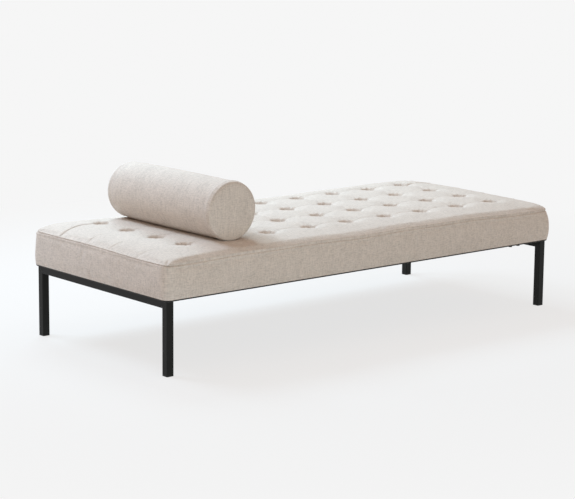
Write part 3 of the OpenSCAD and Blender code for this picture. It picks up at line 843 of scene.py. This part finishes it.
def edge_spacing(reach, normal, near, tuft_lines=()):
    """Grid spacing: close at the seam, close near the tufts, wider between."""
    def spacing(v):
        size = near + (normal - near) * np.clip((reach - abs(v)) / SPACING_ZONE, 0, 1)
        for t in tuft_lines:
            for within, widest in TUFT_SPACING:
                size = np.where(abs(v - t) < within, np.minimum(size, widest), size)
        return size
    return spacing


def top_grid(spacing, columns=(), rows=()):
    """Grid lines of the panel along X and along Y."""
    return [
        spread_lines(-reach, reach, edge_spacing(reach, *spacing, lines))
        for reach, lines in zip(top_reach, (columns, rows))
    ]


def top_points(x, y):
    """The panel's points, drawn in to its outline, with the seam's groove, lean and tuck."""
    z = top_surface(x, y)
    px, py = round_outline(x, y, top_reach, top_round)
    nx, ny = outline_normal(px, py, top_reach, top_round)
    d = np.minimum(top_reach[0] - abs(x), top_reach[1] - abs(y))
    inset = np.where(d < EDGE_ZONE, seam_groove(z - seam_level(x, y)), 0)
    lean = seam_lean(px, py)
    tuck_x, tuck_y = corner_tuck(px, py)
    px = px - nx * inset + lean * px / frame_half[0] + tuck_x
    py = py - ny * inset + lean * py / frame_half[1] + tuck_y
    return np.stack([px, py, z], 2)


def simulate_top():
    """The simulated move of the panel on an even, coarser grid."""
    xs, ys = top_grid(SIM_SPACING)
    x, y = np.meshgrid(xs, ys)
    points = top_points(x, y)
    held = np.minimum(top_reach[0] - abs(x), top_reach[1] - abs(y)) < HELD_SEAM
    beside, past = HELD_DENT
    held |= (abs(x - bolster_centre[0]) < beside) & (abs(y) < bolster_half + past)
    for tx, ty, *_ in tufts:
        held |= np.hypot(x - tx, y - ty) < HELD_TUFT
    move = simulate("top_cloth", points.reshape(-1, 3), grid_faces(len(ys), len(xs)),
                    np.flatnonzero(held.ravel()), **TOP_SWELL)
    return xs, ys, move.reshape(len(ys), len(xs), 3)


def make_top():
    sim_xs, sim_ys, move = simulate_top()
    columns, rows = (first_tuft[k] + np.arange(TUFTS[k]) * tuft_pitch[k] for k in (0, 1))
    xs, ys = top_grid(TOP_SPACING, columns, rows)
    x, y = np.meshgrid(xs, ys)
    points = top_points(x, y)
    points += resample(move, grid_places(ys, sim_ys), grid_places(xs, sim_xs))
    faces = grid_faces(len(ys), len(xs))
    cloth = np.stack([x, y], 2).reshape(-1, 2)[np.array(faces)]
    top = make_object("top_panel", points.reshape(-1, 3), faces, cloth)
    top.data.materials.append(linen_top)
    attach(top, "bed")
    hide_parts("tufted_top")


make_top()


# ---------- Side band ----------

def outline_points(spacing, arc_step):
    """The frame-size rounded outline once round: corner centre, direction and length so far."""
    centres, directions, lengths = [], [], []
    run = 0.0
    arc = BAND_ROUND * math.pi / 2
    count = max(int(round(arc / arc_step)), CORNER_STEPS)
    cx, cy = frame_half - BAND_ROUND
    corners = [(cx, cy), (-cx, cy), (-cx, -cy), (cx, -cy)]
    for q, corner in enumerate(corners):
        for s in range(count + 1):
            turn = math.pi / 2 * (q + s / count)
            centres.append(corner)
            directions.append((math.cos(turn), math.sin(turn)))
            lengths.append(run)
            run += arc / count if s < count else 0
        following = corners[(q + 1) % 4]
        straight = math.dist(corner, following)
        steps = int(round(straight / spacing))
        for s in range(1, steps):
            f = s / steps
            centres.append((corner[0] + (following[0] - corner[0]) * f,
                            corner[1] + (following[1] - corner[1]) * f))
            directions.append((math.cos(turn), math.sin(turn)))
            lengths.append(run + straight * f)
        run += straight
    return np.array(centres), np.array(directions), np.array(lengths), run


def band_profile(share):
    """How far the band stands out of the frame's outline at a share of its height."""
    rise = np.clip(share / BAND_FULL_AT, 0, 1)
    fall = np.clip((share - BAND_FULL_AT) / (1 - BAND_FULL_AT), 0, 1)
    lower = BAND_BOTTOM + (BAND_FULL - BAND_BOTTOM) * (1 - (1 - rise) ** 2)
    return lower - (BAND_FULL - BAND_SEAM) * fall ** 2


def band_points(centres, directions, shares):
    """Rows of points round the band, from just above the steel up to the seam."""
    x, y = (centres + directions * BAND_ROUND).T
    height = seam_level(x, y) - band_low[2]
    tuck = np.column_stack(corner_tuck(x, y))
    waves = wander(x - BAND_WAVE_SLANT * y, BAND_WAVES)
    rows = []
    for share in shares:
        out = band_profile(share) + share * seam_lean(x, y)
        out = out + waves * math.sin(math.pi * share)
        out = out - seam_groove((1 - share) * height)
        xy = centres + directions * (BAND_ROUND + out)[:, None] + tuck * share ** CORNER_TUCK_FADE
        rows.append(np.column_stack([xy, band_low[2] + HEM_GAP + (height - HEM_GAP) * share]))
    return np.array(rows)


def simulate_band():
    """The simulated move of the band on a coarser grid, and the grid's places round the bed."""
    shares = np.linspace(0, 1, BAND_SIM_ROWS)
    centres, directions, lengths, _ = outline_points(*BAND_SIM_SPACING)
    start = band_points(centres, directions, shares)
    size = (len(shares), len(lengths))
    move = simulate("band_cloth", start.reshape(-1, 3), grid_faces(*size, wrap=True),
                    end_rows(*size), **BAND_SWELL)
    return lengths, move.reshape(*size, 3)


def make_band():
    sim_lengths, move = simulate_band()
    centres, directions, lengths, total = outline_points(*BAND_SPACING)
    shares = runs(*BAND_ROWS)
    outside = band_points(centres, directions, shares)
    places = grid_places(lengths, np.append(sim_lengths, total))
    outside += resample(move, shares * (BAND_SIM_ROWS - 1), places, wrap=True)
    # The bottom edge rolls under to a hem that lies on the steel
    hem = []
    levels = []
    for inset, rise, level in HEM_ROLL:
        row = outside[0].copy()
        row[:, :2] -= directions * inset
        row[:, 2] += rise
        hem.append(row)
        levels.append(level)
    verts = np.concatenate([np.array(hem), outside])
    levels += [BAND_HEIGHT * share for share in shares]
    cols = len(lengths)
    faces = grid_faces(len(levels), cols, wrap=True)
    cloth = corner_cloth(faces, cols, lengths, levels, total)
    band = make_object("side_band_cover", verts.reshape(-1, 3), faces, cloth)
    band.data.materials.append(linen_band)
    # The rolled-under part is coloured near-black as a painted shadow, which shows as a thin dark
    # line over the steel
    band.data.materials.append(painted_shadow_hem)
    for polygon in band.data.polygons[:len(HEM_ROLL) * cols]:
        polygon.material_index = 1
    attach(band, "bed")
    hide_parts("side_band")


make_band()


# ---------- Bolster ----------

def bolster_place(radius, turn, y):
    """A point on the bolster; turn runs from the head side over the top."""
    x = bolster_centre[0] - radius * np.cos(turn)
    z = bolster_centre[2] + radius * np.sin(turn)
    return np.stack(np.broadcast_arrays(x, bolster_centre[1] + y, z), -1)


def rest_on_pad(points):
    """The underside takes the shape of the pad wherever it would sink into it."""
    pad = top_surface(points[..., 0], points[..., 1]) + BOLSTER_GAP
    points[..., 2] = np.maximum(points[..., 2], pad)
    return points


def body_faces(rows, cols):
    """Faces of the bolster's body, turned outwards."""
    return [f[::-1] for f in grid_faces(rows, cols, wrap=True)]


def simulate_bolster():
    """The simulated move of the body on a coarser grid, and the grid's places along it."""
    cols, rows = BOLSTER_SIM_GRID
    ys = np.linspace(-bolster_half, bolster_half, rows)
    turn, y = np.meshgrid(round_turns(cols), ys)
    start = bolster_place(bolster_profile(y) - BOLSTER_SIM_INSET, turn, y)
    move = simulate("bolster_cloth", start.reshape(-1, 3), body_faces(rows, cols),
                    end_rows(rows, cols), **BOLSTER_SWELL)
    return ys, move.reshape(rows, cols, 3)


def bolster_spacing(y):
    """Spacing of the rows along the bolster: close at both ends."""
    wide, close = BOLSTER_SPACING
    return np.where(bolster_half - abs(y) < BOLSTER_END_ZONE, close, wide)


def tucked_rows(ring, side):
    """Rows that carry on from an end's last ring and turn in at the seam."""
    centre = np.array([bolster_centre[0], ring[0, 1], bolster_centre[2]])
    rows = []
    for inset, out in END_TUCK:
        row = centre + (ring - centre) * (1 - inset / bolster_radius)
        row[:, 1] += side * out
        rows.append(row)
    return np.array(rows)


def finish_bolster(piece, *nodes):
    piece.data.materials.append(linen_bolster)
    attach(piece, "bolster")
    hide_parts(*nodes)


def make_bolster_body():
    sim_ys, move = simulate_bolster()
    turns = round_turns(BOLSTER_COLS)
    ys = spread_lines(-bolster_half, bolster_half, bolster_spacing)
    turn, y = np.meshgrid(turns, ys)
    points = bolster_place(bolster_profile(y), turn, y)
    sim_turns = turns / (2 * math.pi) * BOLSTER_SIM_GRID[0]
    points += resample(move, grid_places(ys, sim_ys), sim_turns, wrap=True)
    points = rest_on_pad(points)
    front, back = tucked_rows(points[0], -1), tucked_rows(points[-1], 1)
    points = np.concatenate([front[::-1], points, back])
    past = END_TUCK_STEP * np.arange(1, len(END_TUCK) + 1)
    levels = np.concatenate([ys[0] - past[::-1], ys, ys[-1] + past])
    faces = body_faces(len(points), BOLSTER_COLS)
    # The warp runs along the bolster, so the fabric's two directions change places
    round_places = turns * bolster_radius
    cloth = corner_cloth(faces, BOLSTER_COLS, round_places, levels, 2 * math.pi * bolster_radius)
    cloth = [(along, around) for around, along in cloth]
    body = make_object("bolster_body", points.reshape(-1, 3), faces, cloth)
    finish_bolster(body, "bolster_cover", "bolster_core")


def make_bolster_cap(name, side, node):
    """A slightly crowned end panel that rolls in to the seam over its last few millimetres."""
    cap_radius = float(bolster_profile(np.array([side * bolster_half]))[0]) - CAP_INSET
    rings = runs(*CAP_RINGS)[1:] * cap_radius
    turns = round_turns(BOLSTER_COLS)
    drift, waves = CAP_FOLD_DRIFT
    folds = np.sin(turns * CAP_FOLDS + drift * np.sin(turns * waves))
    points = []
    for r in rings:
        edge = cap_radius - r
        crown = CAP_CROWN * (1 - (r / cap_radius) ** 2)
        roll = CAP_ROLL * math.exp(-edge / CAP_ROLL_WIDTH)
        pucker = CAP_PUCKER * math.exp(-edge / CAP_PUCKER_REACH) * folds
        out = bolster_half + CAP_SEAT + crown - roll + pucker
        points.append(rest_on_pad(bolster_place(r, turns, side * out)))
    middle = bolster_place(0, 0, side * (bolster_half + CAP_SEAT + CAP_CROWN))
    verts = np.concatenate([*points, middle[None]])
    hub = len(verts) - 1
    faces = grid_faces(len(rings), BOLSTER_COLS, wrap=True)
    faces += [(hub, (i + 1) % BOLSTER_COLS, i) for i in range(BOLSTER_COLS)]
    faces = [f[::-1] if side > 0 else f for f in faces]
    cloth = [(verts[k][0], verts[k][2]) for f in faces for k in f]
    cap = make_object(name, verts, faces, cloth)
    finish_bolster(cap, node)


make_bolster_body()
make_bolster_cap("bolster_cap_front", -1, "bolster_end_front")
make_bolster_cap("bolster_cap_back", 1, "bolster_end_back")


# ---------- Finishes of the CAD nodes ----------

def finish_nodes():
    """Every node of the frame that stays in view takes its own finish."""
    for name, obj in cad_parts.items():
        for starts, material in FINISHES.items():
            if name.startswith(starts):
                obj.data.materials.clear()
                obj.data.materials.append(material)


finish_nodes()


# ---------- Stage and light ----------

def seen_directly(tree):
    """1 for rays that show the backdrop: from the camera, in reflections and through glass."""
    path = tree.nodes.new("ShaderNodeLightPath")
    most = path.outputs["Is Camera Ray"]
    for name in ("Is Glossy Ray", "Is Transmission Ray"):
        node = tree.nodes.new("ShaderNodeMath")
        node.operation = "MAXIMUM"
        tree.links.new(most, node.inputs[0])
        tree.links.new(path.outputs[name], node.inputs[1])
        most = node.outputs[0]
    return most


def mix_shaders(tree, share, first, second, into):
    """Links two shaders, mixed by a share, into a socket."""
    mix = tree.nodes.new("ShaderNodeMixShader")
    for out, slot in zip((share, first, second), mix.inputs):
        tree.links.new(out, slot)
    tree.links.new(mix.outputs[0], into)


def backdrop_world():
    """Shows the backdrop's level, and lights the object with its own colour and strength."""
    world = bpy.data.worlds.new("world")
    bpy.context.scene.world = world
    world.use_nodes = True
    tree = world.node_tree
    tree.nodes.clear()
    out = tree.nodes.new("ShaderNodeOutputWorld")
    seen = tree.nodes.new("ShaderNodeBackground")
    seen.inputs["Color"].default_value = (BACKDROP, BACKDROP, BACKDROP, 1)
    lit = tree.nodes.new("ShaderNodeBackground")
    lit.inputs["Color"].default_value = WORLD_COLOUR
    lit.inputs["Strength"].default_value = WORLD_STRENGTH
    mix_shaders(tree, seen_directly(tree), lit.outputs[0], seen.outputs[0], out.inputs[0])


def make_floor():
    """A matt floor that keeps the object's shadow and fades into the backdrop away from it."""
    half = FLOOR_HALF
    corners = [(-half, -half, 0), (half, -half, 0), (half, half, 0), (-half, half, 0)]
    floor = make_object("floor", corners, [(0, 1, 2, 3)], smooth=False)
    n = Nodes("floor")
    n.surface(Base_Color=(FLOOR_GREY, FLOOR_GREY, FLOOR_GREY, 1), Roughness=1.0,
              Specular_IOR_Level=0.0)
    glow = n.add("ShaderNodeEmission", Color=(BACKDROP, BACKDROP, BACKDROP, 1))
    length = n.add("ShaderNodeVectorMath", operation="LENGTH")
    n.link(n.place(), length.inputs[0])
    near, far = FADE_PLACES
    least, most = FADE_SHARES
    fade = n.add("ShaderNodeMapRange", From_Min=near, From_Max=far, To_Min=least, To_Max=most)
    n.link(length.outputs["Value"], fade.inputs["Value"])
    share = n.math("MULTIPLY", seen_directly(n.tree), fade.outputs[0])
    out = n.tree.nodes["Material Output"].inputs[0]
    mix_shaders(n.tree, share, n.shader.outputs[0], glow.outputs[0], out)
    floor.data.materials.append(n.material)


def area_light(name, place, target, size, power, colour):
    data = bpy.data.lights.new(name, "AREA")
    data.shape = "RECTANGLE"
    data.size, data.size_y = size
    data.energy = power
    data.color = colour
    light = bpy.data.objects.new(name, data)
    light.location = place
    aim = Vector(target) - Vector(place)
    light.rotation_euler = aim.to_track_quat("-Z", "Y").to_euler()
    bpy.context.scene.collection.objects.link(light)


backdrop_world()
make_floor()
for lamp, values in LAMPS.items():
    area_light(lamp, *values)

bpy.context.scene.view_settings.view_transform = "Standard"
